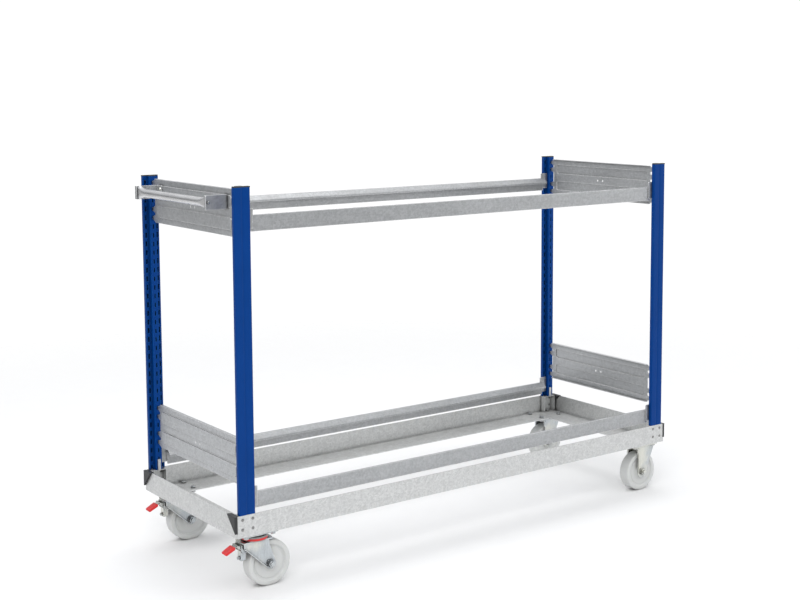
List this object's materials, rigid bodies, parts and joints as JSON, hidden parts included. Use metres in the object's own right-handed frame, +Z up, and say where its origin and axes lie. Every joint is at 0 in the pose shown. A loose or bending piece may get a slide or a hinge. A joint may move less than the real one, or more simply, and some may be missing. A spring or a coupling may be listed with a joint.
{
  "type": "mobile tyre storage rack",
  "caption": "Tall open rack on a rolling chassis: tyres stand across pairs of bent steel rails on two levels; swivel casters with brake pedals at the handle end, rigid casters at the other.",
  "frame": {"origin": "on the floor, at the middle of the whole rack's outline in plan", "axes": "+X along the rack from the handle end to the rigid casters, -Y is the front, +Z is up"},
  "size_m": [1.6146, 0.5484, 1.0675],
  "materials": {
    "blue_powder_coat": "satin powder coat",
    "black_plastic": "matt moulded plastic",
    "galvanised_steel": "hot-dip galvanised with a spangle",
    "zinc_coated_sheet": "smooth zinc-coated sheet, satin",
    "grip_metal": "satin, lightly polished",
    "bright_zinc": "bright zinc plate",
    "plain_steel": "dark zinc-plated steel",
    "red_plastic": "smooth moulded plastic",
    "white_polyamide": "off-white cast polyamide, satin"
  },
  "bodies": {
    "rack": {"upright_front_left": "blue_powder_coat", "upright_front_right": "blue_powder_coat", "upright_rear_left": "blue_powder_coat", "upright_rear_right": "blue_powder_coat", "post_caps": "black_plastic", "post_foot_front_left": "galvanised_steel", "post_foot_front_right": "galvanised_steel", "post_foot_rear_left": "galvanised_steel", "post_foot_rear_right": "galvanised_steel", "rail_lower_front": "zinc_coated_sheet", "rail_lower_rear": "zinc_coated_sheet", "rail_upper_front": "zinc_coated_sheet", "rail_upper_rear": "zinc_coated_sheet", "rail_hooks_lower": "zinc_coated_sheet", "rail_hooks_upper": "zinc_coated_sheet", "panel_lower_left": "zinc_coated_sheet", "panel_lower_right": "zinc_coated_sheet", "panel_upper_left": "zinc_coated_sheet", "panel_upper_right": "zinc_coated_sheet", "handle_arm_front": "zinc_coated_sheet", "handle_arm_rear": "zinc_coated_sheet", "handle_grip": "grip_metal", "handle_screws": "bright_zinc", "channel_front": "galvanised_steel", "channel_rear": "galvanised_steel", "channel_left": "galvanised_steel", "channel_right": "galvanised_steel", "corner_bumpers": "black_plastic", "foot_rivets": "bright_zinc", "caster_bolts": "bright_zinc", "caster_nuts": "bright_zinc", "swivel_plate_front": "bright_zinc", "swivel_plate_rear": "bright_zinc", "swivel_race_front": "red_plastic", "swivel_race_rear": "red_plastic", "kingpin_front": "plain_steel", "kingpin_rear": "plain_steel", "rigid_fork_front": "bright_zinc", "rigid_fork_rear": "bright_zinc", "rigid_axle_front": "bright_zinc", "rigid_axle_rear": "bright_zinc"},
    "caster_swivel_front": {"swivel_fork_front": "bright_zinc", "swivel_axle_front": "bright_zinc", "brake_bracket_front": "plain_steel"},
    "brake_pedal_front": {"brake_pedal_front": "plain_steel", "pedal_tip_front": "red_plastic"},
    "wheel_left_front": {"swivel_wheel_front": "white_polyamide", "swivel_bush_front": "plain_steel"},
    "wheel_right_front": {"rigid_wheel_front": "white_polyamide", "rigid_bush_front": "plain_steel"},
    "caster_swivel_rear": {"swivel_fork_rear": "bright_zinc", "swivel_axle_rear": "bright_zinc", "brake_bracket_rear": "plain_steel"},
    "brake_pedal_rear": {"brake_pedal_rear": "plain_steel", "pedal_tip_rear": "red_plastic"},
    "wheel_left_rear": {"swivel_wheel_rear": "white_polyamide", "swivel_bush_rear": "plain_steel"},
    "wheel_right_rear": {"rigid_wheel_rear": "white_polyamide", "rigid_bush_rear": "plain_steel"}
  },
  "joints": [
    {"name": "swivel_front", "type": "hinge", "parent": "rack", "child": "caster_swivel_front", "pos_m": [-0.69475, -0.2295, 0.13], "axis": [0, 0, 1], "continuous": true},
    {"name": "roll_left_front", "type": "hinge", "parent": "caster_swivel_front", "child": "wheel_left_front", "pos_m": [-0.65875, -0.2295, 0.0625], "axis": [0, 1, 0], "continuous": true},
    {"name": "press_front", "type": "hinge", "parent": "caster_swivel_front", "child": "brake_pedal_front", "pos_m": [-0.73275, -0.2295, 0.114], "axis": [0, -1, 0], "range_deg": [0, 12]},
    {"name": "roll_right_front", "type": "hinge", "parent": "rack", "child": "wheel_right_front", "pos_m": [0.72725, -0.2295, 0.0625], "axis": [0, 1, 0], "continuous": true},
    {"name": "swivel_rear", "type": "hinge", "parent": "rack", "child": "caster_swivel_rear", "pos_m": [-0.69475, 0.2295, 0.13], "axis": [0, 0, 1], "continuous": true},
    {"name": "roll_left_rear", "type": "hinge", "parent": "caster_swivel_rear", "child": "wheel_left_rear", "pos_m": [-0.65875, 0.2295, 0.0625], "axis": [0, 1, 0], "continuous": true},
    {"name": "press_rear", "type": "hinge", "parent": "caster_swivel_rear", "child": "brake_pedal_rear", "pos_m": [-0.73275, 0.2295, 0.114], "axis": [0, -1, 0], "range_deg": [0, 12]},
    {"name": "roll_right_rear", "type": "hinge", "parent": "rack", "child": "wheel_right_rear", "pos_m": [0.72725, 0.2295, 0.0625], "axis": [0, 1, 0], "continuous": true}
  ]
}
